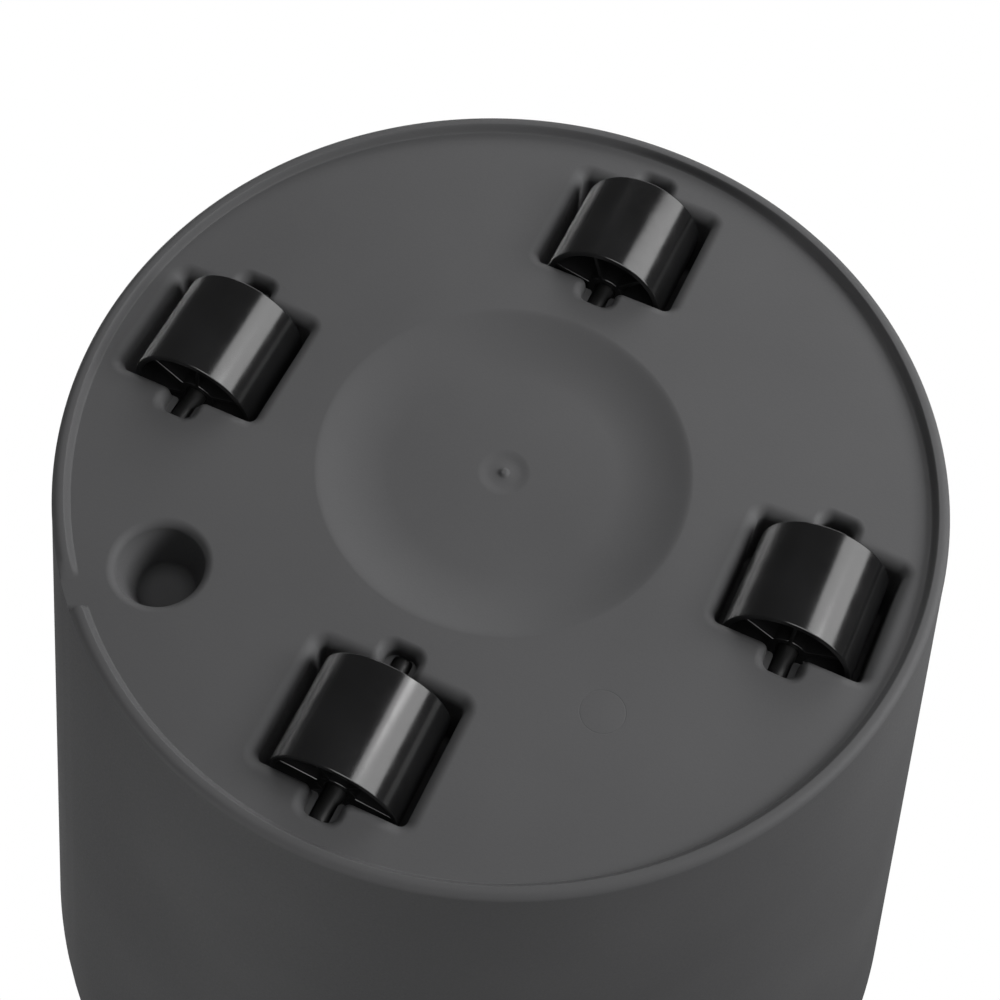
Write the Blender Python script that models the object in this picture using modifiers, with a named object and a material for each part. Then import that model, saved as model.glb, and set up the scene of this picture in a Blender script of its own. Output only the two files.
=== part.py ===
"""A round tapered planter that stands on four rollers let into its base.

Metres, +Z up. The origin is on the floor under the middle of the pot, where the rollers touch it.
The rollers run along X, so all four axle pins lie along Y.
"""

import math

import bmesh
import bpy

# Driving dimensions.
HEIGHT = 0.323
BASE_RADIUS = 0.123
TAPER = 0.159                # the outer wall's gain in radius for each unit of height
WALL = 0.003
ROLLER_RADIUS = 0.0184
ROLLER_WIDTH = 0.0314
ROLLER_DROP = 0.0104         # how far the rollers stand below the underside
PIN_RADIUS = 0.003
GAP = 0.0003                 # between a piece and the one it touches

# Sizes that follow from them.
BASE_Z = ROLLER_DROP
AXLE_Z = ROLLER_RADIUS
AXLE_DEPTH = AXLE_Z - BASE_Z

# Underside.
RING_HEIGHT = 0.0026
RING_INSIDE = BASE_RADIUS - 0.0058
RING_CROWN_INSIDE = BASE_RADIUS - 0.0034
RING_CROWN_OUTSIDE = BASE_RADIUS - 0.0024
RECESS_RADIUS = 0.0522
RECESS_SLOPE = 0.014
RECESS_DEPTH = 0.0036

# Roller housings: the pocket, and the keyhole slot that holds the pin at each end.
SIDE_OFFSET = 0.0902         # roller centres on the X axis
END_OFFSET = 0.0867          # roller centres on the Y axis
POCKET_ALONG = 0.0418        # across the roller
POCKET_ACROSS = 0.0354       # along the pin
POCKET_DEPTH = 0.0286
POCKET_CORNER = 0.002
MOUTH_FLARE = 0.003
SLOT_REACH = 0.0072          # how far a slot runs beyond its pocket
SLOT_MOUTH = 0.0094
SLOT_FLARE_DEPTH = 0.0015
SLOT_NECK = 0.0055           # the mouth of the seat, which the pin snaps past
HOUSING_WALL = 0.0025

# Drain well, and the gap in the foot ring next to it.
WELL_ANGLE = math.radians(135.5)
WELL_OFFSET = 0.0972
WELL_RADIUS = 0.0115
WELL_DEPTH = 0.0185
WELL_ROUND = 0.005           # where its wall turns into its floor
WELL_FLARE = 0.0028
NOTCH_ANGLE = math.radians(135.2)
NOTCH_WIDTH = 0.0115
NOTCH_INSIDE = 0.001         # how far the gap runs in past the ring

# Rim: rolled inward, with a short lip hanging inside the wall.
RIM_WIDTH = 0.0105
RIM_ROUND = 0.0028
LIP_DEPTH = 0.013
LIP_WALL = 0.0026
FLOOR_FILLET = 0.003

# Roller.
BARREL_WALL = 0.0019
RIB_COUNT = 6
RIB_THICKNESS = 0.0013
END_RECESS = 0.0018          # the ribs and the hub stop this far inside the barrel's ends
WEB_THICKNESS = 0.0014
HUB_RADIUS = 0.0056
BORE_RADIUS = PIN_RADIUS + GAP
LIP_ROUND = 0.0007
PIN_BEVEL = 0.0004

# Where each housing is, how far its roller has turned, and how far that has slid along its pin.
ROLLERS = {
    "left": ((-SIDE_OFFSET, 0.0), math.radians(22.5), -0.0002),
    "right": ((SIDE_OFFSET, 0.0), math.radians(30), 0.0006),
    "front": ((0.0, -END_OFFSET), math.radians(45), 0.0011),
    "back": ((0.0, END_OFFSET), math.radians(52.5), 0.0006),
}

POT_STEPS = 64
ROLLER_STEPS = 48
PIN_STEPS = 24
SMALL_STEPS = 24
CUT_MARGIN = 0.004           # how far a cutter runs past the face that it opens
MERGE = 0.00005

POT_GREY = (0.085, 0.085, 0.092, 1.0)
ROLLER_BLACK = (0.012, 0.012, 0.013, 1.0)
PIN_BLACK = (0.015, 0.015, 0.016, 1.0)
POT_ROUGHNESS = 0.62
GLOSS_ROUGHNESS = 0.3
SHARP_ANGLE = 35             # degrees; edges that turn further than this are shaded as creases


def clear_scene():
    for obj in list(bpy.data.objects):
        bpy.data.objects.remove(obj)


def new_collection(name):
    collection = bpy.data.collections.new(name)
    bpy.context.scene.collection.children.link(collection)
    return collection


def new_material(name, colour, roughness):
    material = bpy.data.materials.new(name)
    material.use_nodes = True
    shader = material.node_tree.nodes["Principled BSDF"]
    shader.inputs["Base Color"].default_value = colour
    shader.inputs["Roughness"].default_value = roughness
    shader.inputs["Metallic"].default_value = 0.0
    return material


def move_to(obj, collection):
    for old in list(obj.users_collection):
        old.objects.unlink(obj)
    collection.objects.link(obj)


def wall_radius(z):
    """The outer wall's radius at height z."""
    return BASE_RADIUS + TAPER * (z - BASE_Z)


def arc(centre_r, centre_z, radius, start, end, steps):
    """Points (r, z) on an arc; angles in degrees, 0 outward and 90 up."""
    points = []
    for i in range(steps + 1):
        angle = math.radians(start + (end - start) * i / steps)
        points.append((centre_r + radius * math.cos(angle), centre_z + radius * math.sin(angle)))
    return points


def profile_object(name, points, closed, steps, collection):
    """A body turned about Z from (r, z) points."""
    mesh = bpy.data.meshes.new(name)
    edges = [(i, i + 1) for i in range(len(points) - 1)]
    if closed:
        edges.append((len(points) - 1, 0))
    mesh.from_pydata([(r, 0.0, z) for r, z in points], edges, [])
    obj = bpy.data.objects.new(name, mesh)
    collection.objects.link(obj)
    screw = obj.modifiers.new("turn", "SCREW")
    screw.axis = "Z"
    screw.angle = math.tau
    screw.steps = steps
    screw.render_steps = steps
    screw.use_merge_vertices = True
    screw.merge_threshold = MERGE
    return obj


def as_cutter(obj, collection):
    move_to(obj, collection)
    obj.hide_render = True
    obj.display_type = "WIRE"
    return obj


def box(name, size, centre, collection):
    bpy.ops.mesh.primitive_cube_add(size=1.0, location=centre)
    obj = bpy.context.active_object
    obj.name = name
    for vertex in obj.data.vertices:
        vertex.co.x *= size[0]
        vertex.co.y *= size[1]
        vertex.co.z *= size[2]
    move_to(obj, collection)
    return obj


def cylinder(name, radius, z_low, z_high, place, steps, collection):
    bpy.ops.mesh.primitive_cylinder_add(
        vertices=steps, radius=radius, depth=z_high - z_low,
        location=(place[0], place[1], (z_low + z_high) / 2),
    )
    obj = bpy.context.active_object
    obj.name = name
    move_to(obj, collection)
    return obj


def boolean(obj, operation, other):
    modifier = obj.modifiers.new(operation.lower(), "BOOLEAN")
    modifier.operation = operation
    modifier.solver = "EXACT"
    if isinstance(other, bpy.types.Collection):
        modifier.operand_type = "COLLECTION"
        modifier.collection = other
    else:
        modifier.object = other


def shade(obj, material):
    obj.data.materials.clear()
    obj.data.materials.append(material)
    obj.data.shade_smooth()
    obj.data.set_sharp_from_angle(angle=math.radians(SHARP_ANGLE))


def pot_profile():
    """The pot's section, from the middle of its inside floor out, over the rim and down to the base."""
    floor = BASE_Z + WALL
    top = HEIGHT
    lip_outside = wall_radius(top) - RIM_WIDTH + LIP_WALL
    lip_inside = lip_outside - LIP_WALL
    inner_base = wall_radius(floor) - WALL
    under_rim = top - LIP_WALL
    points = [
        (0.0, floor + RECESS_DEPTH),
        (RECESS_RADIUS - RECESS_SLOPE, floor + RECESS_DEPTH),
        (RECESS_RADIUS, floor),
    ]
    points += arc(inner_base - FLOOR_FILLET, floor + FLOOR_FILLET, FLOOR_FILLET, -90, 0, 3)
    points += [
        (wall_radius(under_rim) - WALL, under_rim),
        (lip_outside, under_rim),
        (lip_outside, top - LIP_DEPTH),
        (lip_inside, top - LIP_DEPTH),
    ]
    points += arc(lip_inside + RIM_ROUND, top - RIM_ROUND, RIM_ROUND, 180, 90, 3)
    outside = wall_radius(top - RIM_ROUND)
    points += arc(outside - RIM_ROUND, top - RIM_ROUND, RIM_ROUND, 90, 0, 3)
    ring_z = BASE_Z - RING_HEIGHT
    corner = BASE_RADIUS - RING_CROWN_OUTSIDE
    points += arc(RING_CROWN_OUTSIDE, ring_z + corner, corner, 0, -90, 3)
    points += [
        (RING_CROWN_INSIDE, ring_z),
        (RING_INSIDE, BASE_Z),
        (RECESS_RADIUS, BASE_Z),
        (RECESS_RADIUS - RECESS_SLOPE, BASE_Z + RECESS_DEPTH),
        (0.0, BASE_Z + RECESS_DEPTH),
    ]
    return points


def slot_outline():
    """The keyhole section of an axle slot, in x and z about the pin's axis: mouth, shelf and seat."""
    seat = PIN_RADIUS + GAP
    neck = SLOT_NECK / 2
    shelf_z = -math.sqrt(seat * seat - neck * neck)
    mouth_z = -AXLE_DEPTH
    right = [
        (SLOT_MOUTH / 2 + MOUTH_FLARE, mouth_z - CUT_MARGIN),
        (SLOT_MOUTH / 2 + MOUTH_FLARE, mouth_z),
        (SLOT_MOUTH / 2, mouth_z + SLOT_FLARE_DEPTH),
        (SLOT_MOUTH / 2, shelf_z),
        (neck, shelf_z),
    ]
    right += [
        (seat * math.cos(angle), seat * math.sin(angle))
        for angle in (math.radians(a) for a in (-15, 0, 30, 60, 90))
    ]
    left = [(-x, z) for x, z in reversed(right[:-1])]
    return right + left


def slot_cutter(name, centre, collection):
    """A prism of the slot's section, long enough to open a slot at both ends of the pocket."""
    curve = bpy.data.curves.new(name, "CURVE")
    curve.dimensions = "2D"
    curve.fill_mode = "BOTH"
    curve.extrude = POCKET_ACROSS / 2 + SLOT_REACH
    outline = slot_outline()
    spline = curve.splines.new("POLY")
    spline.points.add(len(outline) - 1)
    for point, (x, z) in zip(spline.points, outline):
        point.co = (x, z, 0.0, 1.0)
    spline.use_cyclic_u = True
    guide = bpy.data.objects.new(name + "_curve", curve)
    guide.location = (centre[0], centre[1], AXLE_Z)
    guide.rotation_euler = (math.radians(90), 0.0, 0.0)
    collection.objects.link(guide)
    return mesh_from(guide, name, collection)


def mesh_from(guide, name, collection):
    """Replaces a curve with the closed mesh that it makes."""
    bpy.context.view_layer.update()
    depsgraph = bpy.context.evaluated_depsgraph_get()
    mesh = bpy.data.meshes.new_from_object(guide.evaluated_get(depsgraph))
    work = bmesh.new()
    work.from_mesh(mesh)
    bmesh.ops.remove_doubles(work, verts=work.verts, dist=MERGE)
    bmesh.ops.recalc_face_normals(work, faces=work.faces)
    work.to_mesh(mesh)
    work.free()
    obj = bpy.data.objects.new(name, mesh)
    obj.matrix_world = guide.matrix_world
    collection.objects.link(obj)
    bpy.data.objects.remove(guide)
    return obj


def pocket_cutter(name, centre, collection):
    """The roller's pocket: a box with rounded corners, opened a little at its mouth."""
    low = BASE_Z - CUT_MARGIN
    high = BASE_Z + POCKET_DEPTH
    middle = (centre[0], centre[1], (low + high) / 2)
    obj = box(name, (POCKET_ALONG, POCKET_ACROSS, high - low), middle, collection)
    bevel = obj.modifiers.new("corners", "BEVEL")
    bevel.width = POCKET_CORNER
    bevel.segments = 2
    bevel.limit_method = "ANGLE"
    return obj


def flare_cutter(name, size, centre, collection):
    """A short frustum that chamfers the mouth of a pocket."""
    obj = box(name, (size[0], size[1], 2 * MOUTH_FLARE), (centre[0], centre[1], BASE_Z), collection)
    for vertex in obj.data.vertices:
        if vertex.co.z < 0:
            vertex.co.x += math.copysign(2 * MOUTH_FLARE, vertex.co.x)
            vertex.co.y += math.copysign(2 * MOUTH_FLARE, vertex.co.y)
    return obj


def add_housing(centre, collection):
    """The raised box inside the pot that holds one pocket and its two slots."""
    low = BASE_Z + WALL / 2
    high = BASE_Z + POCKET_DEPTH + HOUSING_WALL
    grown = 2 * HOUSING_WALL
    size = (POCKET_ALONG + grown, POCKET_ACROSS + grown, high - low)
    main = box("housing", size, (centre[0], centre[1], (low + high) / 2), collection)
    slot_high = AXLE_Z + PIN_RADIUS + GAP + HOUSING_WALL
    size = (SLOT_MOUTH + grown, POCKET_ACROSS + 2 * SLOT_REACH + grown, slot_high - low)
    ends = box("housing_ends", size, (centre[0], centre[1], (low + slot_high) / 2), collection)
    for obj in (main, ends):
        obj.hide_render = True
        obj.display_type = "WIRE"


def well_place():
    return (WELL_OFFSET * math.cos(WELL_ANGLE), WELL_OFFSET * math.sin(WELL_ANGLE))


def add_well(raised, cut):
    """The well is a round-bottomed hole with a flared mouth, under a cover inside the pot."""
    place = well_place()
    top = BASE_Z + WELL_DEPTH
    low = BASE_Z - CUT_MARGIN - WELL_ROUND
    cover = cylinder("well_cover", WELL_RADIUS + HOUSING_WALL, BASE_Z + WALL / 2,
                     top + HOUSING_WALL, place, SMALL_STEPS, raised)
    hole = cylinder("well", WELL_RADIUS, low, top, place, SMALL_STEPS, cut)
    bevel = hole.modifiers.new("floor_edge", "BEVEL")
    bevel.width = WELL_ROUND
    bevel.segments = 3
    bevel.limit_method = "ANGLE"
    bpy.ops.mesh.primitive_cone_add(
        vertices=SMALL_STEPS, radius1=WELL_RADIUS + 2 * WELL_FLARE, radius2=WELL_RADIUS,
        depth=2 * WELL_FLARE, location=(place[0], place[1], BASE_Z),
    )
    mouth = bpy.context.active_object
    mouth.name = "well_mouth"
    move_to(mouth, cut)
    for obj in (cover, hole, mouth):
        obj.hide_render = True
        obj.display_type = "WIRE"


def add_notch(cut):
    """The gap in the foot ring that lets water run out."""
    inner = RING_INSIDE - NOTCH_INSIDE
    outer = BASE_RADIUS + CUT_MARGIN
    middle = (inner + outer) / 2
    low = BASE_Z - RING_HEIGHT - CUT_MARGIN
    centre = (middle * math.cos(NOTCH_ANGLE), middle * math.sin(NOTCH_ANGLE), (low + BASE_Z) / 2)
    obj = box("notch", (outer - inner, NOTCH_WIDTH, BASE_Z - low), centre, cut)
    obj.rotation_euler = (0.0, 0.0, NOTCH_ANGLE)
    obj.hide_render = True
    obj.display_type = "WIRE"


def build_pot(parts, raised, cut):
    pot = profile_object("pot_body", pot_profile(), False, POT_STEPS, parts)
    for side, (centre, _, _) in ROLLERS.items():
        add_housing(centre, raised)
        as_cutter(pocket_cutter("pocket_" + side, centre, cut), cut)
        as_cutter(flare_cutter("mouth_" + side, (POCKET_ALONG, POCKET_ACROSS), centre, cut), cut)
        as_cutter(slot_cutter("slot_" + side, centre, cut), cut)
    add_well(raised, cut)
    add_notch(cut)
    boolean(pot, "UNION", raised)
    boolean(pot, "DIFFERENCE", cut)
    shade(pot, new_material("pot_plastic", POT_GREY, POT_ROUGHNESS))


def barrel_profile():
    """The barrel's section: a thin wall with rounded lips, as a closed loop that runs down outside."""
    half = ROLLER_WIDTH / 2
    outer = ROLLER_RADIUS
    inner = ROLLER_RADIUS - BARREL_WALL
    points = arc(outer - LIP_ROUND, half - LIP_ROUND, LIP_ROUND, 90, 0, 1)
    points += arc(outer - LIP_ROUND, -half + LIP_ROUND, LIP_ROUND, 0, -90, 1)
    points += [(inner, -half), (inner, half)]
    return points


def hub_profile():
    half = ROLLER_WIDTH / 2 - END_RECESS
    return [(HUB_RADIUS, half), (HUB_RADIUS, -half), (BORE_RADIUS, -half), (BORE_RADIUS, half)]


def web_profile():
    """The disc at mid-width that joins the hub to the barrel."""
    half = WEB_THICKNESS / 2
    outer = ROLLER_RADIUS - BARREL_WALL / 2
    inner = (HUB_RADIUS + BORE_RADIUS) / 2
    return [(outer, half), (outer, -half), (inner, -half), (inner, half)]


def add_ribs(collection):
    inner = (HUB_RADIUS + BORE_RADIUS) / 2
    outer = ROLLER_RADIUS - BARREL_WALL / 2
    height = ROLLER_WIDTH - 2 * END_RECESS
    for i in range(RIB_COUNT):
        angle = math.tau * i / RIB_COUNT
        middle = (inner + outer) / 2
        centre = (middle * math.cos(angle), middle * math.sin(angle), 0.0)
        rib = box("rib", (outer - inner, RIB_THICKNESS, height), centre, collection)
        rib.rotation_euler = (0.0, 0.0, angle)


def roller_mesh(inside):
    """One roller about Z: barrel, hub, mid web and six ribs, joined into one solid."""
    barrel = profile_object("roller_shape", barrel_profile(), True, ROLLER_STEPS, inside["shape"])
    profile_object("hub", hub_profile(), True, SMALL_STEPS, inside["fill"])
    profile_object("web", web_profile(), True, ROLLER_STEPS, inside["fill"])
    add_ribs(inside["fill"])
    boolean(barrel, "UNION", inside["fill"])
    bpy.context.view_layer.update()
    depsgraph = bpy.context.evaluated_depsgraph_get()
    mesh = bpy.data.meshes.new_from_object(barrel.evaluated_get(depsgraph))
    mesh.name = "roller"
    for collection in inside.values():
        for obj in list(collection.objects):
            bpy.data.objects.remove(obj)
        bpy.data.collections.remove(collection)
    return mesh


def build_rollers(parts):
    inside = {name: new_collection("roller_" + name) for name in ("shape", "fill")}
    mesh = roller_mesh(inside)
    material = new_material("roller_plastic", ROLLER_BLACK, GLOSS_ROUGHNESS)
    for side, (centre, turn, slide) in ROLLERS.items():
        obj = bpy.data.objects.new("roller_" + side, mesh.copy())
        obj.location = (centre[0], centre[1] + slide, AXLE_Z)
        obj.rotation_euler = (math.radians(90), turn, 0.0)
        parts.objects.link(obj)
        shade(obj, material)


def build_pins(parts):
    material = new_material("pin_plastic", PIN_BLACK, GLOSS_ROUGHNESS)
    length = POCKET_ACROSS + 2 * SLOT_REACH - 2 * GAP
    for side, (centre, _, _) in ROLLERS.items():
        bpy.ops.mesh.primitive_cylinder_add(
            vertices=PIN_STEPS, radius=PIN_RADIUS, depth=length,
            location=(centre[0], centre[1], AXLE_Z), rotation=(math.radians(90), 0.0, 0.0),
        )
        pin = bpy.context.active_object
        pin.name = "axle_pin_" + side
        move_to(pin, parts)
        bevel = pin.modifiers.new("ends", "BEVEL")
        bevel.width = PIN_BEVEL
        bevel.segments = 1
        bevel.limit_method = "ANGLE"
        bevel.angle_limit = math.radians(60)
        shade(pin, material)


def main():
    clear_scene()
    parts = new_collection("rolling_planter")
    raised = new_collection("housings")
    cut = new_collection("cutters")
    build_pot(parts, raised, cut)
    build_rollers(parts)
    build_pins(parts)


main()
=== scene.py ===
"""Looks for a rolling planter: a tapered pot that stands on four ribbed rollers let into its base.

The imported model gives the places. The pot, the rollers and the pins are rebuilt here as finer
meshes. Metres, +Z up. The camera stands below the floor's level and looks up at the underside.
"""

import math

import bmesh
import bpy
from mathutils import Matrix, Vector


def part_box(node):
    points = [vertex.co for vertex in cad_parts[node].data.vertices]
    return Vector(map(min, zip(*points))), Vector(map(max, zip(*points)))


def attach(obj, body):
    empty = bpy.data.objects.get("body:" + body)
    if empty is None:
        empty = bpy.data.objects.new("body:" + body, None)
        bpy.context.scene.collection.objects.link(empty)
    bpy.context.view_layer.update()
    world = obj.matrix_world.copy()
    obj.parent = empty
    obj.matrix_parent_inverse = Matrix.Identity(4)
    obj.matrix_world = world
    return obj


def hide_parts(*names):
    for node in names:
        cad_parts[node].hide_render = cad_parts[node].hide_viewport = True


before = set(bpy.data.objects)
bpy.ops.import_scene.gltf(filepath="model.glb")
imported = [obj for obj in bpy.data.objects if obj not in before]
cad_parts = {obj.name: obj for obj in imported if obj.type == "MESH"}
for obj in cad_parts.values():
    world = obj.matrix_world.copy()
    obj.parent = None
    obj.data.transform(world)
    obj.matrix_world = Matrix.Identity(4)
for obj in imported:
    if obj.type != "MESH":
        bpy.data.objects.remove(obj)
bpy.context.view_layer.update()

SIDES = ("left", "right", "front", "back")

# Places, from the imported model.
POT_LOW, POT_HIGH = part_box("pot_body")
ROLLER_LOW, ROLLER_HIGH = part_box("roller_right")
PIN_LOW, PIN_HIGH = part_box("axle_pin_right")
HEIGHT = POT_HIGH.z
ROLLER_RADIUS = (ROLLER_HIGH.z - ROLLER_LOW.z) / 2
ROLLER_WIDTH = ROLLER_HIGH.y - ROLLER_LOW.y
AXLE_Z = (ROLLER_HIGH.z + ROLLER_LOW.z) / 2
PIN_RADIUS = (PIN_HIGH.z - PIN_LOW.z) / 2
PIN_LENGTH = PIN_HIGH.y - PIN_LOW.y

# The pot's shell.
RING_HEIGHT = 0.0026
BASE_Z = POT_LOW.z + RING_HEIGHT
BASE_RADIUS = 0.123
TAPER = 0.159
WALL = 0.003
RIM_WIDTH = 0.0105
RIM_ROUND = 0.0028
LIP_DEPTH = 0.013
LIP_WALL = 0.0026
LIP_END_ROUND = 0.0008
LIP_CHANNEL_ROUND = 0.0015
WALL_START = 0.0012
FLOOR_FILLET = 0.003

# The foot ring, and the gap in it.
RING_CROWN_OUTSIDE = 0.0024
RING_CROWN_INSIDE = 0.0033
RING_INSIDE = 0.0051
NOTCH_START = math.radians(132.5)
NOTCH_END = math.radians(136.9)
NOTCH_STEP = 0.0009
NOTCH_RAMP = 0.0062
# Radians between the foot ring's points at the step and on the ramp, and the least gap from
# these to its even points.
STEP_PITCH = 0.0018
RAMP_PITCH = 0.0055
PITCH_MARGIN = 0.012
# How many of those points lie each side of the step, and on the ramp.
STEP_SIDE = 6
RAMP_POINTS = 10

# The dished middle and the gate mark in its centre.
RECESS_RADIUS = 0.0525
RECESS_SLOPE = 0.021
RECESS_ROUND = 0.08
RECESS_DEPTH = 0.0043
GATE_RADIUS = 0.0076
GATE_SLOPE = 0.0035
GATE_DEPTH = 0.0004
NUB_RADIUS = 0.0013
NUB_HEIGHT = 0.0007
# The nub from its foot to its top, as shares of its radius and of its height.
NUB_PROFILE = ((1.5, 0.0), (1.0, 0.25), (0.75, 0.9), (0.4, 1.0))

# The housings: pocket, slot and the neck that the pin snaps past.
POCKET_X = 0.0418 / 2
POCKET_Y = 0.0354 / 2
POCKET_DEPTH = 0.0286
POCKET_CORNER = 0.0018
POCKET_FLOOR_ROUND = 0.002
POCKET_FLOOR_CORNER = POCKET_CORNER + 0.0002
MOUTH_ROUND = 0.0038
SLOT_ROUND = 0.0026
SLOT_REACH = 0.0072
SLOT_HALF = 0.0047
SLOT_CORNER = 0.003
NECK_HALF = 0.00275
# How far the end of a narrowed slot is rounded, as a share of half its width.
NECK_CORNER_SHARE = 0.6
# The rounding where a slot leaves the pocket: at the mouth's edge, what it gains down the flare,
# and below that. Round the seat it is at most a share of half the slot's width.
INNER_EDGE = 0.0006
INNER_GAIN = 0.0014
INNER_CORNER = 0.0012
INNER_SHARE = 0.4
PIN_GAP = 0.0003
SEAT_RADIUS = PIN_RADIUS + PIN_GAP
HOUSING_WALL = 0.0025

# The housings' backs, inside the pot.
BOSS_FOOT = 0.0012
BOSS_EDGE = 0.0018
BOSS_INNER_CORNER = 0.001
BOSS_SLOT_CORNER = 0.002
WELL_BOSS_EDGE = 0.003

# The drain well and the roundel.
WELL_ANGLE = math.radians(135.5)
WELL_OFFSET = 0.0972
WELL_RADIUS = 0.0116
WELL_DEPTH = 0.0185
WELL_TAPER = 0.0032
WELL_MOUTH = 0.0028
WELL_FLOOR_ROUND = 0.005
ROUNDEL_ANGLE = math.radians(46.1)
ROUNDEL_OFFSET = 0.077
ROUNDEL_RADIUS = 0.006
ROUNDEL_GROOVE = 0.0005
ROUNDEL_DEPTH = 0.0001
ROUNDEL_FLAT_SHARE = 0.3

# Rollers and pins.
BARREL_WALL = 0.0019
LIP_ROUND = 0.00045
END_RECESS = 0.0016
WEB_THICKNESS = 0.0014
WEB_FILLET = 0.0008
HUB_RADIUS = 0.0056
HUB_ROUND = 0.0003
BORE_RADIUS = PIN_RADIUS + PIN_GAP
RIB_COUNT = 6
RIB_THICKNESS = 0.0013
RIB_ROUND = 0.00028
PARTING_WIDTH = 0.00012
PARTING_DEPTH = 0.00003
ROLLER_TURN = {"left": 20.5, "right": 30.0, "front": 46.5, "back": 51.5}
PIN_END_ROUND = 0.0005
PIN_FACE_RADIUS = 0.0004

# How finely the meshes are cut, and the angles in degrees that stay sharp.
WALL_SEGMENTS = 256
INNER_FLOOR_SEGMENTS = 96
WELL_SEGMENTS = 96
WELL_BOSS_SEGMENTS = 64
ROUNDEL_SEGMENTS = 72
BARREL_SEGMENTS = 144
PIN_SEGMENTS = 64
CORNER_STEPS = 6
POT_SHARP = 50
SMALL_SHARP = 40
NORMAL_WEIGHT = 90
MERGE = 1e-6
MM = 0.001

# The part of a noise pattern's range that its ramps are spread over.
NOISE_LOW = 0.3
NOISE_HIGH = 0.7

# The stage. The floor fades to white between the two distances from its middle.
WORLD_LIGHT = 0.10
FLOOR_SIZE = 12.0
FLOOR_Z = -0.0002
FLOOR_GREY = 0.86
FLOOR_NEAR = 0.45
FLOOR_FAR = 1.9

# The view, as azimuth and elevation of the line back to the camera, which is upside down.
CAMERA_AZIMUTH = math.radians(159.21)
CAMERA_ELEVATION = math.radians(-59.77)
CAMERA_ROLL = math.radians(4.67)
CAMERA_DISTANCE = 0.505
CAMERA_LENS = 65.91
CAMERA_SENSOR = 36.0
CAMERA_SHIFT = (-0.0046, -0.0357)
CAMERA_CLIP = (0.01, 50.0)


# ---------------------------------------------------------------- mesh helpers

def ring_verts(bm, points):
    """One vertex for each point, in order."""
    return [bm.verts.new(p) for p in points]


def bridge(bm, first, second):
    """Quads between two closed loops of the same length; they face left of first-to-second."""
    count = len(first)
    for i in range(count):
        j = (i + 1) % count
        bm.faces.new((first[i], first[j], second[j], second[i]))


def sweep(bm, loops):
    """Bridges each loop of points to the next and returns the first and last rings of vertices."""
    rings = [ring_verts(bm, points) for points in loops]
    for a, b in zip(rings, rings[1:]):
        bridge(bm, a, b)
    return rings[0], rings[-1]


def loop_edges(bm, ring):
    """The edges that join a ring's vertices in order, back to the first."""
    edges = []
    for i, vertex in enumerate(ring):
        edges.append(bm.edges.get((vertex, ring[(i + 1) % len(ring)])))
    return edges


def fill_flat(bm, rings):
    """Fills the flat region between an outer ring and the rings of its holes."""
    edges = [edge for ring in rings for edge in loop_edges(bm, ring)]
    bmesh.ops.triangle_fill(bm, use_beauty=True, use_dissolve=False, edges=edges)


def cap(bm, ring, centre):
    """Closes a ring with a fan about a centre point."""
    middle = bm.verts.new(centre)
    for i, vertex in enumerate(ring):
        bm.faces.new((vertex, ring[(i + 1) % len(ring)], middle))


def finish_mesh(bm, name, sharp_angle):
    """Cleans the mesh and makes it an object, smooth but for edges past the angle in degrees."""
    bmesh.ops.remove_doubles(bm, verts=bm.verts, dist=MERGE)
    bmesh.ops.dissolve_degenerate(bm, edges=bm.edges, dist=MERGE)
    bmesh.ops.recalc_face_normals(bm, faces=bm.faces)
    mesh = bpy.data.meshes.new(name)
    bm.to_mesh(mesh)
    bm.free()
    mesh.shade_smooth()
    mesh.set_sharp_from_angle(angle=math.radians(sharp_angle))
    obj = bpy.data.objects.new(name, mesh)
    bpy.context.scene.collection.objects.link(obj)
    weighted = obj.modifiers.new("weighted", "WEIGHTED_NORMAL")
    weighted.keep_sharp = True
    weighted.weight = NORMAL_WEIGHT
    return obj


def circle(radius, z, angles, centre=(0.0, 0.0)):
    """A level circle of points at the given angles."""
    return [
        (centre[0] + radius * math.cos(a), centre[1] + radius * math.sin(a), z)
        for a in angles
    ]


def even_angles(count):
    """Equal steps once round, in radians."""
    return [math.tau * i / count for i in range(count)]


def quarter_turn(steps):
    """Equal steps from 0 to a right angle, both included, in radians."""
    return [math.pi / 2 * i / steps for i in range(steps + 1)]


def smooth(t):
    """0 to 1 with level ends, and held there outside."""
    t = min(max(t, 0.0), 1.0)
    return t * t * (3 - 2 * t)


def arc(centre_r, centre_z, radius, start, end, steps):
    """Points (r, z) on an arc; angles in degrees, 0 outward and 90 up."""
    points = []
    for i in range(steps + 1):
        angle = math.radians(start + (end - start) * i / steps)
        points.append((centre_r + radius * math.cos(angle), centre_z + radius * math.sin(angle)))
    return points


# ---------------------------------------------------------------- housings' outlines

def outer_corner(x, y, radius):
    """The rounded corner of a box that reaches to (x, y), from its far edge round to its side."""
    points = []
    for i in range(CORNER_STEPS + 1):
        a = math.pi / 2 * (1 - i / CORNER_STEPS)
        points.append((x - radius + radius * math.cos(a), y - radius + radius * math.sin(a)))
    return points


def quarter_outline(x, y, slot, reach, corner, inner, end):
    """From the slot's end, (0, reach), round to the pocket's side, (x, 0)."""
    points = [(0.0, reach)] + outer_corner(slot, reach, end)
    for i in range(CORNER_STEPS + 1):
        a = math.pi + math.pi / 2 * i / CORNER_STEPS
        points.append((slot + inner + inner * math.cos(a), y + inner + inner * math.sin(a)))
    return points + outer_corner(x, y, corner) + [(x, 0.0)]


def mirror_quarter(quarter):
    """A closed outline from its first quarter, which runs from the Y axis to the X axis."""
    back = list(reversed(quarter))[1:]
    outline = quarter + [(px, -py) for px, py in back]
    outline += [(-px, -py) for px, py in quarter[1:]]
    outline += [(-px, py) for px, py in back[:-1]]
    return outline


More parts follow.
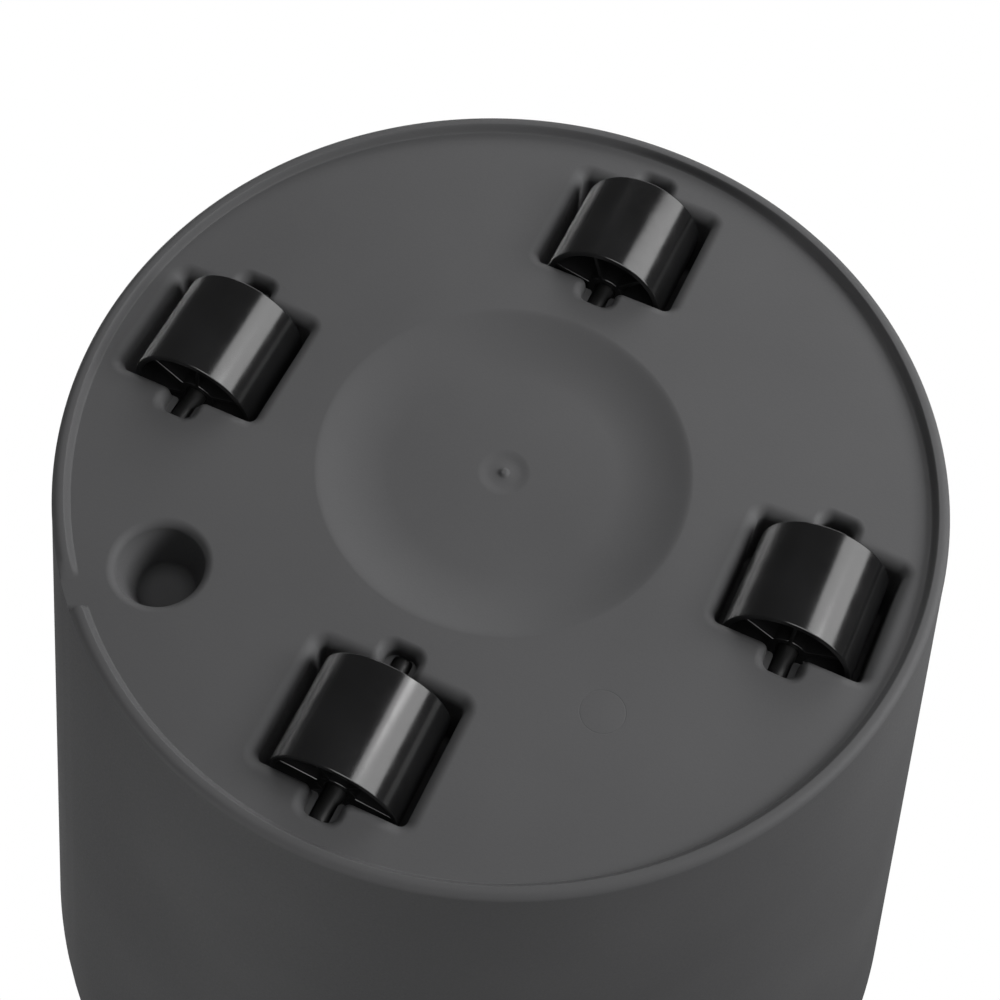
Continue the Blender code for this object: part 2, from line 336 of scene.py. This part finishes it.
def cross_outline(x, y, slot, reach, corner, inner, end):
    """A pocket with a slot at both ends, as one closed outline about its own centre."""
    return mirror_quarter(quarter_outline(x, y, slot, reach, corner, inner, end))


def pocket_outline(x, y, corner):
    """The same number of points as cross_outline, for the pocket alone: the slots have no width."""
    no_slot = [(0.0, y)] * (2 * CORNER_STEPS + 3)
    return mirror_quarter(no_slot + outer_corner(x, y, corner) + [(x, 0.0)])


def housing_levels():
    """(depth, outline) from the mouth's flared edge down to the pocket's floor."""
    reach = POCKET_Y + SLOT_REACH
    axle = AXLE_Z - BASE_Z
    levels = []
    for a in quarter_turn(7):
        out = MOUTH_ROUND * (1 - math.sin(a))
        slot_out = SLOT_ROUND * (1 - math.sin(a))
        inner = INNER_EDGE + INNER_GAIN * math.sin(a)
        levels.append((
            MOUTH_ROUND * (1 - math.cos(a)),
            cross_outline(POCKET_X + out, POCKET_Y + out, SLOT_HALF + slot_out, reach + slot_out,
                          POCKET_CORNER + out, inner, SLOT_CORNER + slot_out * 0.5),
        ))
    # The slot's shelf, where it steps in to the neck.
    shelf = axle - math.sqrt(SEAT_RADIUS ** 2 - NECK_HALF ** 2)
    for depth, half in (
        (shelf - 0.3 * MM, SLOT_HALF),
        (shelf - 0.1 * MM, SLOT_HALF - 0.1 * MM),
        (shelf, SLOT_HALF - 0.3 * MM),
        (shelf + 0.02 * MM, NECK_HALF + 0.2 * MM),
    ):
        levels.append((depth, cross_outline(POCKET_X, POCKET_Y, half, reach, POCKET_CORNER,
                                            INNER_CORNER, half * NECK_CORNER_SHARE)))
    # The seat round the pin, from the neck to where the slot has closed over it.
    start = -math.acos(NECK_HALF / SEAT_RADIUS)
    steps = 11
    for i in range(steps + 1):
        a = start + (math.pi / 2 - start) * i / steps
        half = max(SEAT_RADIUS * math.cos(a), 0.0)
        levels.append((axle + SEAT_RADIUS * math.sin(a),
                       cross_outline(POCKET_X, POCKET_Y, half, reach, POCKET_CORNER,
                                     min(INNER_CORNER, INNER_SHARE * half),
                                     half * NECK_CORNER_SHARE)))
    for a in quarter_turn(4):
        inset = POCKET_FLOOR_ROUND * (1 - math.cos(a))
        levels.append((POCKET_DEPTH - POCKET_FLOOR_ROUND + POCKET_FLOOR_ROUND * math.sin(a),
                       pocket_outline(POCKET_X - inset, POCKET_Y - inset, POCKET_FLOOR_CORNER)))
    return levels


def housing_centre(side):
    """The middle of a side's pin, which its pocket is built round."""
    low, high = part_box("axle_pin_" + side)
    return (low + high) / 2


def add_pocket(bm, side):
    """One pocket with its slots; returns the ring of its mouth."""
    centre = housing_centre(side)
    loops = [
        [(centre.x + x, centre.y + y, BASE_Z + depth) for x, y in outline]
        for depth, outline in housing_levels()
    ]
    mouth, floor = sweep(bm, loops)
    cap(bm, floor, (centre.x, centre.y, BASE_Z + POCKET_DEPTH))
    return mouth


def add_boss(bm, side):
    """The back of a pocket, raised from the inside floor; returns the ring at its foot."""
    centre = housing_centre(side)
    grow = HOUSING_WALL
    reach = POCKET_Y + SLOT_REACH + grow
    slot_top = AXLE_Z + SEAT_RADIUS + HOUSING_WALL
    top = BASE_Z + POCKET_DEPTH + HOUSING_WALL
    floor = BASE_Z + WALL
    levels = []
    for a in quarter_turn(4):
        levels.append((floor + BOSS_FOOT * (1 - math.cos(a)), BOSS_FOOT * (1 - math.sin(a))))
    for a in quarter_turn(4):
        levels.append((slot_top - BOSS_EDGE * (1 - math.sin(a)), -BOSS_EDGE * (1 - math.cos(a))))
    loops = []
    half = SLOT_HALF + grow
    # The rounding over the slots' tops draws in the slots only; the pocket goes on up.
    for z, out in levels:
        pocket_out = max(out, 0.0)
        loops.append((z, cross_outline(POCKET_X + grow + pocket_out, POCKET_Y + grow + pocket_out,
                                       half + out, reach + out, POCKET_CORNER + grow,
                                       BOSS_INNER_CORNER, BOSS_SLOT_CORNER)))
    loops.append((slot_top, pocket_outline(POCKET_X + grow, POCKET_Y + grow, POCKET_CORNER + grow)))
    for a in quarter_turn(4):
        inset = BOSS_EDGE * (1 - math.cos(a))
        loops.append((top - BOSS_EDGE * (1 - math.sin(a)),
                      pocket_outline(POCKET_X + grow - inset, POCKET_Y + grow - inset,
                                     POCKET_CORNER + grow - inset)))
    placed = [[(centre.x + x, centre.y + y, z) for x, y in outline] for z, outline in loops]
    ring, last = sweep(bm, placed)
    cap(bm, last, (centre.x, centre.y, top))
    return ring


# ---------------------------------------------------------------- the rest of the pot

def polar(radius, angle):
    """(x, y) of a point at a radius and angle from the pot's middle."""
    return (radius * math.cos(angle), radius * math.sin(angle))


def add_well(bm):
    """The drain well in the underside; returns its mouth."""
    centre = polar(WELL_OFFSET, WELL_ANGLE)
    angles = even_angles(WELL_SEGMENTS)
    loops = []
    for a in quarter_turn(8):
        loops.append(circle(WELL_RADIUS + WELL_MOUTH * (1 - math.sin(a)),
                            BASE_Z + WELL_MOUTH * (1 - math.cos(a)), angles, centre))
    for a in quarter_turn(8):
        loops.append(circle(WELL_RADIUS - WELL_TAPER - WELL_FLOOR_ROUND * (1 - math.cos(a)),
                            BASE_Z + WELL_DEPTH - WELL_FLOOR_ROUND * (1 - math.sin(a)),
                            angles, centre))
    mouth, floor = sweep(bm, loops)
    cap(bm, floor, (centre[0], centre[1], BASE_Z + WELL_DEPTH))
    return mouth


def add_well_boss(bm):
    """The well's back, raised from the inside floor; returns the ring at its foot."""
    centre = polar(WELL_OFFSET, WELL_ANGLE)
    angles = even_angles(WELL_BOSS_SEGMENTS)
    floor = BASE_Z + WALL
    top = BASE_Z + WELL_DEPTH + HOUSING_WALL
    radius = WELL_RADIUS + HOUSING_WALL
    profile = [(radius + BOSS_FOOT * (1 - math.sin(a)), floor + BOSS_FOOT * (1 - math.cos(a)))
               for a in quarter_turn(4)]
    profile += arc(radius - WELL_BOSS_EDGE, top - WELL_BOSS_EDGE, WELL_BOSS_EDGE, 0, 90, 5)
    ring, last = sweep(bm, [circle(r, z, angles, centre) for r, z in profile])
    cap(bm, last, (centre[0], centre[1], top))
    return ring


def add_roundel(bm):
    """A hair-fine ring in the underside; returns its outer edge."""
    centre = polar(ROUNDEL_OFFSET, ROUNDEL_ANGLE)
    angles = even_angles(ROUNDEL_SEGMENTS)
    half = ROUNDEL_GROOVE / 2
    profile = [
        (ROUNDEL_RADIUS + half, 0.0),
        (ROUNDEL_RADIUS + half * ROUNDEL_FLAT_SHARE, ROUNDEL_DEPTH),
        (ROUNDEL_RADIUS - half * ROUNDEL_FLAT_SHARE, ROUNDEL_DEPTH),
        (ROUNDEL_RADIUS - half, 0.0),
    ]
    edge, inner = sweep(bm, [circle(r, BASE_Z + d, angles, centre) for r, d in profile])
    cap(bm, inner, (centre[0], centre[1], BASE_Z))
    return edge


def dish(t):
    """0 at the recess's edge to 1 on its floor: steep just inside the edge and easing off."""
    eased = t * t / (t + RECESS_ROUND) * (1 + RECESS_ROUND)
    return 1 - (1 - eased) ** 2


def recess_profile():
    """(r, z) from the recess's edge in to the gate mark and the nub in its centre."""
    inner = RECESS_RADIUS - RECESS_SLOPE
    points = []
    steps = 28
    for i in range(steps + 1):
        t = i / steps
        points.append((RECESS_RADIUS - RECESS_SLOPE * t, BASE_Z + RECESS_DEPTH * dish(t)))
    floor = BASE_Z + RECESS_DEPTH
    points.append(((inner + GATE_RADIUS) / 2, floor))
    steps = 8
    for i in range(steps + 1):
        t = i / steps
        points.append((GATE_RADIUS - GATE_SLOPE * t, floor + GATE_DEPTH * smooth(t)))
    foot = floor + GATE_DEPTH
    return points + [(NUB_RADIUS * r, foot - NUB_HEIGHT * h) for r, h in NUB_PROFILE]


def add_recess(bm):
    """The dished middle of the underside; returns its outer edge."""
    angles = even_angles(WALL_SEGMENTS)
    edge, inner = sweep(bm, [circle(r, z, angles) for r, z in recess_profile()])
    cap(bm, inner, (0.0, 0.0, BASE_Z + RECESS_DEPTH + GATE_DEPTH - NUB_HEIGHT))
    return edge


def ring_angles():
    """Even steps round the pot, closer together at the two ends of the notch."""
    fine = [NOTCH_START + k * STEP_PITCH for k in range(-STEP_SIDE, STEP_SIDE + 1)]
    fine += [NOTCH_END + k * RAMP_PITCH for k in range(-1, RAMP_POINTS + 1)]
    low = min(fine) - PITCH_MARGIN
    high = max(fine) + PITCH_MARGIN
    coarse = [a for a in even_angles(WALL_SEGMENTS) if not low < a < high]
    return sorted(coarse + fine)


def ring_height(angle):
    """1 round the foot ring, and 0 across the notch: a step at one end and a ramp at the other."""
    before = (NOTCH_START - angle) * BASE_RADIUS
    after = (angle - NOTCH_END) * BASE_RADIUS
    return max(smooth(before / NOTCH_STEP + 0.5), smooth(after / NOTCH_RAMP))


def ring_profile():
    """(r, drop) across the foot ring, from its inner edge out to the wall."""
    slope = RING_INSIDE - RING_CROWN_INSIDE
    points = []
    steps = 8
    for i in range(steps + 1):
        t = i / steps
        points.append((BASE_RADIUS - RING_INSIDE + slope * t, RING_HEIGHT * smooth(t)))
    corner = RING_CROWN_OUTSIDE
    for a in quarter_turn(8):
        points.append((BASE_RADIUS - corner + corner * math.sin(a),
                       RING_HEIGHT - corner * (1 - math.cos(a))))
    return points


def outer_ring_loops(angles):
    """The foot ring's profile carried round the pot, flattened at the notch."""
    loops = []
    for r, drop in ring_profile():
        loops.append([
            (r * math.cos(a), r * math.sin(a), BASE_Z - drop * ring_height(a)) for a in angles
        ])
    return loops


def wall_radius(z):
    """The outside of the tapered wall at a height."""
    return BASE_RADIUS + TAPER * (z - BASE_Z)


def shell_profile():
    """(r, z) up the outside, over the rim, and down the inside to the edge of its floor."""
    top = HEIGHT
    rim_outside = wall_radius(top - RIM_ROUND)
    lip_outside = wall_radius(top) - RIM_WIDTH + LIP_WALL
    lip_inside = lip_outside - LIP_WALL
    under = top - LIP_WALL
    floor = BASE_Z + WALL
    inner_base = wall_radius(floor) - WALL
    points = [(wall_radius(BASE_Z + WALL_START), BASE_Z + WALL_START)]
    steps = 12
    for i in range(1, steps):
        z = BASE_Z + (top - RIM_ROUND - BASE_Z) * i / steps
        points.append((wall_radius(z), z))
    points += arc(rim_outside - RIM_ROUND, top - RIM_ROUND, RIM_ROUND, 0, 90, 8)
    points += arc(lip_inside + RIM_ROUND, top - RIM_ROUND, RIM_ROUND, 90, 180, 8)
    lip_end = LIP_END_ROUND
    lip_low = top - LIP_DEPTH
    points += arc(lip_inside + lip_end, lip_low + lip_end, lip_end, 180, 270, 4)
    points += arc(lip_outside - lip_end, lip_low + lip_end, lip_end, -90, 0, 4)
    channel = LIP_CHANNEL_ROUND
    inner_top = wall_radius(under) - WALL
    points += arc(lip_outside + channel, under - channel, channel, 180, 90, 4)
    points += arc(inner_top - channel, under - channel, channel, 90, 0, 4)
    points += arc(inner_base - FLOOR_FILLET, floor + FLOOR_FILLET, FLOOR_FILLET, 0, -90, 6)
    return points


def inner_floor_profile():
    """(r, z) of the raised middle of the inside floor, the back of the recess."""
    floor = BASE_Z + WALL
    steps = 10
    return [
        (RECESS_RADIUS - RECESS_SLOPE * i / steps, floor + RECESS_DEPTH * smooth(i / steps))
        for i in range(steps + 1)
    ]


def build_pot():
    """The whole pot as one closed mesh: the turned shell, and flat floors with what is let in."""
    bm = bmesh.new()
    angles = ring_angles()
    loops = outer_ring_loops(angles)
    loops += [circle(r, z, angles) for r, z in shell_profile()]
    foot_edge, floor_edge = sweep(bm, loops)
    holes = [add_pocket(bm, side) for side in SIDES]
    holes += [add_well(bm), add_roundel(bm), add_recess(bm)]
    fill_flat(bm, [foot_edge] + holes)
    raised = [add_boss(bm, side) for side in SIDES]
    raised.append(add_well_boss(bm))
    even = even_angles(INNER_FLOOR_SEGMENTS)
    rise, top = sweep(bm, [circle(r, z, even) for r, z in inner_floor_profile()])
    cap(bm, top, (0.0, 0.0, BASE_Z + WALL + RECESS_DEPTH))
    fill_flat(bm, [floor_edge] + raised + [rise])
    return finish_mesh(bm, "pot", POT_SHARP)


# ---------------------------------------------------------------- rollers and pins

def half_roller_profile():
    """(r, y) of half a roller, from the parting line over lip, web and hub to the bore."""
    end = ROLLER_WIDTH / 2
    outer = ROLLER_RADIUS
    inner = outer - BARREL_WALL
    lip = LIP_ROUND
    web = WEB_THICKNESS / 2
    fillet = WEB_FILLET
    hub = HUB_ROUND
    hub_end = end - END_RECESS
    points = [
        (outer - PARTING_DEPTH, 0.0),
        (outer, PARTING_WIDTH),
    ]
    points += arc(outer - lip, end - lip, lip, 0, 90, 4)
    points += arc(inner + lip, end - lip, lip, 90, 180, 4)
    points += arc(inner - fillet, web + fillet, fillet, 0, -90, 3)
    points += arc(HUB_RADIUS + fillet, web + fillet, fillet, -90, -180, 3)
    points += arc(HUB_RADIUS - hub, hub_end - hub, hub, 0, 90, 3)
    points += arc(BORE_RADIUS + hub, hub_end - hub, hub, 90, 180, 3)
    return points


def roller_shell(bm):
    """Barrel, web and hub as one closed turned body about Z."""
    half = half_roller_profile()
    profile = half + [(r, -y) for r, y in reversed(half[1:])]
    angles = even_angles(BARREL_SEGMENTS)
    rings = [ring_verts(bm, circle(r, z, angles)) for r, z in profile]
    for a, b in zip(rings, rings[1:] + rings[:1]):
        bridge(bm, a, b)


def rib_mesh(name):
    """The ribs about Z, as one mesh of separate bars with rounded edges."""
    bm = bmesh.new()
    inner = (HUB_RADIUS + BORE_RADIUS) / 2
    outer = ROLLER_RADIUS - BARREL_WALL / 2
    half_height = ROLLER_WIDTH / 2 - END_RECESS
    for k in range(RIB_COUNT):
        turn = Matrix.Rotation(math.tau * k / RIB_COUNT, 4, "Z")
        made = bmesh.ops.create_cube(bm, size=1.0)["verts"]
        scale = Matrix.Diagonal((outer - inner, RIB_THICKNESS, 2 * half_height, 1.0))
        place = Matrix.Translation(((outer + inner) / 2, 0.0, 0.0))
        bmesh.ops.transform(bm, matrix=turn @ place @ scale, verts=made)
    mesh = bpy.data.meshes.new(name)
    bm.to_mesh(mesh)
    bm.free()
    obj = bpy.data.objects.new(name, mesh)
    bpy.context.scene.collection.objects.link(obj)
    bevel = obj.modifiers.new("soft", "BEVEL")
    bevel.width = RIB_ROUND
    bevel.segments = 2
    return obj


def roller_shape():
    """One roller about Z: the turned body and its ribs, united."""
    bm = bmesh.new()
    roller_shell(bm)
    body = finish_mesh(bm, "roller_shape", SMALL_SHARP)
    body.modifiers.clear()
    ribs = rib_mesh("ribs_shape")
    union = body.modifiers.new("ribs", "BOOLEAN")
    union.operation = "UNION"
    union.solver = "EXACT"
    union.object = ribs
    bpy.context.view_layer.update()
    depsgraph = bpy.context.evaluated_depsgraph_get()
    mesh = bpy.data.meshes.new_from_object(body.evaluated_get(depsgraph))
    mesh.shade_smooth()
    mesh.set_sharp_from_angle(angle=math.radians(SMALL_SHARP))
    bpy.data.objects.remove(ribs)
    bpy.data.objects.remove(body)
    return mesh


def build_roller(side, shape):
    """One roller, turned to its own angle about its pin."""
    mesh = shape.copy()
    mesh.name = "ribbed_roller_" + side
    turn = Matrix.Rotation(math.radians(ROLLER_TURN[side]), 4, "Y")
    stand = Matrix.Rotation(math.radians(90), 4, "X")
    mesh.transform(turn @ stand)
    obj = bpy.data.objects.new("ribbed_roller_" + side, mesh)
    bpy.context.scene.collection.objects.link(obj)
    low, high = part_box("roller_" + side)
    obj.location = (low + high) / 2
    weighted = obj.modifiers.new("weighted", "WEIGHTED_NORMAL")
    weighted.keep_sharp = True
    return obj


def build_pin(side):
    """A plain axle pin with rounded ends."""
    half = PIN_LENGTH / 2
    edge = PIN_END_ROUND
    profile = [(PIN_FACE_RADIUS, half)]
    profile += arc(PIN_RADIUS - edge, half - edge, edge, 90, 0, 5)
    profile += arc(PIN_RADIUS - edge, -half + edge, edge, 0, -90, 5)
    profile.append((PIN_FACE_RADIUS, -half))
    bm = bmesh.new()
    angles = even_angles(PIN_SEGMENTS)
    first, last = sweep(bm, [circle(r, z, angles) for r, z in profile])
    cap(bm, first, (0.0, 0.0, half))
    cap(bm, last, (0.0, 0.0, -half))
    obj = finish_mesh(bm, "pin_" + side, SMALL_SHARP)
    obj.data.transform(Matrix.Rotation(math.radians(90), 4, "X"))
    low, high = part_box("axle_pin_" + side)
    obj.location = (low + high) / 2
    return obj


# ---------------------------------------------------------------- materials

def new_material(name):
    """A material with its nodes, links and main shader."""
    material = bpy.data.materials.new(name)
    material.use_nodes = True
    nodes = material.node_tree.nodes
    shader = nodes["Principled BSDF"]
    return material, nodes, material.node_tree.links, shader


def noise(nodes, links, coords, scale, detail=2.0, roughness=0.5):
    """A noise pattern from 0 to 1."""
    node = nodes.new("ShaderNodeTexNoise")
    node.inputs["Scale"].default_value = scale
    node.inputs["Detail"].default_value = detail
    node.inputs["Roughness"].default_value = roughness
    links.new(coords, node.inputs["Vector"])
    return node.outputs["Fac"]


def ramp(nodes, links, factor, low, high):
    """A colour between two, by a noise pattern."""
    node = nodes.new("ShaderNodeValToRGB")
    node.color_ramp.elements[0].position = NOISE_LOW
    node.color_ramp.elements[0].color = (*low, 1.0)
    node.color_ramp.elements[1].position = NOISE_HIGH
    node.color_ramp.elements[1].color = (*high, 1.0)
    links.new(factor, node.inputs["Fac"])
    return node.outputs["Color"]


def map_range(nodes, links, value, low, high):
    """A number between two, by a noise pattern."""
    node = nodes.new("ShaderNodeMapRange")
    node.inputs["From Min"].default_value = NOISE_LOW
    node.inputs["From Max"].default_value = NOISE_HIGH
    node.inputs["To Min"].default_value = low
    node.inputs["To Max"].default_value = high
    links.new(value, node.inputs["Value"])
    return node.outputs["Result"]


def bump(nodes, links, height, strength, distance, normal=None):
    """A surface direction tilted by a height pattern, over an earlier one if there is one."""
    node = nodes.new("ShaderNodeBump")
    node.inputs["Strength"].default_value = strength
    node.inputs["Distance"].default_value = distance
    links.new(height, node.inputs["Height"])
    if normal is not None:
        links.new(normal, node.inputs["Normal"])
    return node.outputs["Normal"]


def object_coords(nodes):
    """Places in the piece's own frame, so that a pattern turns with it."""
    return nodes.new("ShaderNodeTexCoord").outputs["Object"]


def pot_material():
    """Matt moulded plastic: a fine spark-eroded grain over slow unevenness."""
    material, nodes, links, shader = new_material("matt_pot_plastic")
    coords = object_coords(nodes)
    cloud = noise(nodes, links, coords, 14.0, 3.0)
    colour = ramp(nodes, links, cloud, (0.057, 0.057, 0.0585), (0.065, 0.065, 0.0665))
    links.new(colour, shader.inputs["Base Color"])
    fine = noise(nodes, links, coords, 1600.0, 2.0, 0.6)
    links.new(map_range(nodes, links, fine, 0.58, 0.72), shader.inputs["Roughness"])
    slow = bump(nodes, links, noise(nodes, links, coords, 22.0, 1.0), 0.25, 0.0004)
    links.new(bump(nodes, links, fine, 0.16, 0.00012, slow), shader.inputs["Normal"])
    shader.inputs["IOR"].default_value = 1.48
    shader.inputs["Specular IOR Level"].default_value = 0.18
    return material


def gloss_material(name, dark, light, rough_low, rough_high):
    """Glossy moulded plastic with slight unevenness and faint wear."""
    material, nodes, links, shader = new_material(name)
    coords = object_coords(nodes)
    cloud = noise(nodes, links, coords, 60.0, 3.0)
    links.new(ramp(nodes, links, cloud, dark, light), shader.inputs["Base Color"])
    smear = noise(nodes, links, coords, 180.0, 4.0, 0.6)
    links.new(map_range(nodes, links, smear, rough_low, rough_high), shader.inputs["Roughness"])
    wave = noise(nodes, links, coords, 110.0, 1.0)
    links.new(bump(nodes, links, wave, 0.12, 0.0002), shader.inputs["Normal"])
    shader.inputs["IOR"].default_value = 1.5
    return material


# ---------------------------------------------------------------- stage, lights and camera

def add_floor():
    """A pale floor, seen from above only, that fades into the white behind it."""
    bpy.ops.mesh.primitive_plane_add(size=FLOOR_SIZE, location=(0.0, 0.0, FLOOR_Z))
    floor = bpy.context.active_object
    floor.name = "floor"
    material = bpy.data.materials.new("pale_floor")
    material.use_nodes = True
    nodes = material.node_tree.nodes
    links = material.node_tree.links
    nodes.clear()
    output = nodes.new("ShaderNodeOutputMaterial")
    mix = nodes.new("ShaderNodeMixShader")
    above = nodes.new("ShaderNodeBsdfDiffuse")
    above.inputs["Color"].default_value = (FLOOR_GREY, FLOOR_GREY, FLOOR_GREY, 1.0)
    below = nodes.new("ShaderNodeBsdfTransparent")
    side = nodes.new("ShaderNodeNewGeometry")
    far = nodes.new("ShaderNodeEmission")
    place = nodes.new("ShaderNodeTexCoord")
    reach = nodes.new("ShaderNodeVectorMath")
    reach.operation = "LENGTH"
    links.new(place.outputs["Object"], reach.inputs[0])
    fade = nodes.new("ShaderNodeMapRange")
    fade.interpolation_type = "SMOOTHSTEP"
    fade.inputs["From Min"].default_value = FLOOR_NEAR
    fade.inputs["From Max"].default_value = FLOOR_FAR
    links.new(reach.outputs["Value"], fade.inputs["Value"])
    blend = nodes.new("ShaderNodeMixShader")
    links.new(fade.outputs["Result"], blend.inputs["Fac"])
    links.new(above.outputs["BSDF"], blend.inputs[1])
    links.new(far.outputs["Emission"], blend.inputs[2])
    links.new(side.outputs["Backfacing"], mix.inputs["Fac"])
    links.new(blend.outputs["Shader"], mix.inputs[1])
    links.new(below.outputs["BSDF"], mix.inputs[2])
    links.new(mix.outputs["Shader"], output.inputs["Surface"])
    floor.data.materials.append(material)
    floor.visible_shadow = False
    floor.visible_diffuse = False
    floor.visible_glossy = False
    floor.visible_transmission = False


def add_world():
    """White behind the object, and a dimmer even light on it."""
    world = bpy.data.worlds.new("studio")
    bpy.context.scene.world = world
    world.use_nodes = True
    nodes = world.node_tree.nodes
    links = world.node_tree.links
    nodes.clear()
    output = nodes.new("ShaderNodeOutputWorld")
    mix = nodes.new("ShaderNodeMixShader")
    path = nodes.new("ShaderNodeLightPath")
    light = nodes.new("ShaderNodeBackground")
    light.inputs["Color"].default_value = (1.0, 1.0, 1.0, 1.0)
    light.inputs["Strength"].default_value = WORLD_LIGHT
    seen = nodes.new("ShaderNodeBackground")
    seen.inputs["Color"].default_value = (1.0, 1.0, 1.0, 1.0)
    seen.inputs["Strength"].default_value = 1.0
    links.new(path.outputs["Is Camera Ray"], mix.inputs["Fac"])
    links.new(light.outputs["Background"], mix.inputs[1])
    links.new(seen.outputs["Background"], mix.inputs[2])
    links.new(mix.outputs["Shader"], output.inputs["Surface"])


def add_softbox(name, direction, distance, width, height, power, target=(0.0, 0.0, 0.02)):
    """A rectangular area light that looks at the target from the given direction."""
    data = bpy.data.lights.new(name, "AREA")
    data.shape = "RECTANGLE"
    data.size = width
    data.size_y = height
    data.energy = power
    light = bpy.data.objects.new(name, data)
    bpy.context.scene.collection.objects.link(light)
    away = Vector(direction).normalized()
    light.location = Vector(target) + away * distance
    light.rotation_mode = "QUATERNION"
    light.rotation_quaternion = away.to_track_quat("Z", "Y")
    return light


def add_camera():
    """Below the floor and looking up, nearer the back than the front."""
    data = bpy.data.cameras.new("camera")
    camera = bpy.data.objects.new("camera", data)
    bpy.context.scene.collection.objects.link(camera)
    bpy.context.scene.camera = camera
    level = math.cos(CAMERA_ELEVATION)
    back = Vector((math.sin(CAMERA_AZIMUTH) * level, -math.cos(CAMERA_AZIMUTH) * level,
                   math.sin(CAMERA_ELEVATION)))
    right = -Vector((math.cos(CAMERA_AZIMUTH), math.sin(CAMERA_AZIMUTH), 0.0))
    up = back.cross(right)
    rolled_right = right * math.cos(CAMERA_ROLL) + up * math.sin(CAMERA_ROLL)
    rolled_up = back.cross(rolled_right)
    turn = Matrix((rolled_right, rolled_up, back)).transposed()
    camera.matrix_world = Matrix.Translation(
        Vector((0.0, 0.0, BASE_Z)) + back * CAMERA_DISTANCE) @ turn.to_4x4()
    data.lens = CAMERA_LENS
    data.sensor_width = CAMERA_SENSOR
    data.shift_x, data.shift_y = CAMERA_SHIFT
    data.clip_start, data.clip_end = CAMERA_CLIP


def add_lights():
    """The lights that reach everything."""
    add_softbox("back_sheen", (-0.15, -0.90, -0.42), 1.5, 1.2, 0.5, 8.5)
    add_softbox("front_left", (-0.8, -0.9, 0.65), 2.0, 1.6, 1.4, 30.0, (0.0, 0.0, 0.2))
    add_softbox("front_right", (0.6, -1.0, 0.45), 2.0, 1.4, 1.0, 5.0, (0.0, 0.0, 0.2))
    add_softbox("overhead", (-0.1, -0.1, 1.0), 2.0, 1.4, 1.4, 12.0, (0.0, 0.0, 0.2))


def light_only(name, pieces, lights):
    """Keeps these lights to these pieces, and returns the pieces' collection."""
    group = bpy.data.collections.new(name)
    for piece in pieces:
        group.objects.link(piece)
    for light in lights:
        light.light_linking.receiver_collection = group
    return group


def add_pot_lights(pot):
    """The pot's own lights: a key from low on +X, strips from -Y and +Y, and a fill from below."""
    light_only("lit_pot", [pot], [
        add_softbox("pot_key", (0.84, -0.24, -0.48), 1.15, 0.50, 0.45, 18.0),
        add_softbox("pot_back", (0.0, -0.88, -0.48), 0.9, 0.8, 0.4, 2.6),
        add_softbox("pot_side", (-0.35, 1.0, 0.0), 1.8, 1.4, 0.5, 20.0),
        add_softbox("pot_fill", (0.05, 0.0, -1.0), 1.5, 1.0, 1.0, 7.0),
    ])


def add_gloss_lights(rollers, pins):
    """A wide key and a small core for rollers and pins; an edge strip and a fill for rollers only.

    Only the rollers can block the last two.
    """
    light_only("lit_gloss", rollers + pins, [
        add_softbox("gloss_key", (0.745, -0.20, -0.667), 1.4, 1.8, 1.15, 33.0),
        add_softbox("gloss_core", (0.60, -0.34, -0.76), 1.3, 0.16, 0.30, 1.3),
    ])
    free = [
        add_softbox("gloss_edge", (-0.70, -0.47, 0.50), 1.2, 0.9, 0.20, 13.5),
        add_softbox("gloss_fill", (0.18, 0.47, -0.86), 1.2, 0.9, 0.9, 13.0),
    ]
    group = light_only("lit_rollers", rollers, free)
    for light in free:
        light.light_linking.blocker_collection = group


# ---------------------------------------------------------------- the object

def dress(piece, body, material, node):
    """Gives a piece its material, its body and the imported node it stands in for."""
    piece.data.materials.clear()
    piece.data.materials.append(material)
    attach(piece, body)
    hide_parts(node)


def build_object():
    """Builds and dresses every piece; returns the pot, the rollers and the pins."""
    pot = build_pot()
    dress(pot, "pot", pot_material(), "pot_body")
    roller_look = gloss_material("gloss_roller_plastic", (0.0035, 0.0035, 0.0036),
                                 (0.0055, 0.0055, 0.0057), 0.14, 0.20)
    pin_look = gloss_material("gloss_pin_plastic", (0.005, 0.005, 0.0052),
                              (0.008, 0.008, 0.0082), 0.46, 0.54)
    shape = roller_shape()
    rollers = []
    pins = []
    for side in SIDES:
        roller = build_roller(side, shape)
        pin = build_pin(side)
        dress(roller, "roller_" + side, roller_look, "roller_" + side)
        dress(pin, "pot", pin_look, "axle_pin_" + side)
        rollers.append(roller)
        pins.append(pin)
    return pot, rollers, pins


bpy.context.scene.view_settings.view_transform = "Standard"
add_camera()
add_world()
add_floor()
add_lights()
pot_piece, roller_pieces, pin_pieces = build_object()
add_pot_lights(pot_piece)
add_gloss_lights(roller_pieces, pin_pieces)
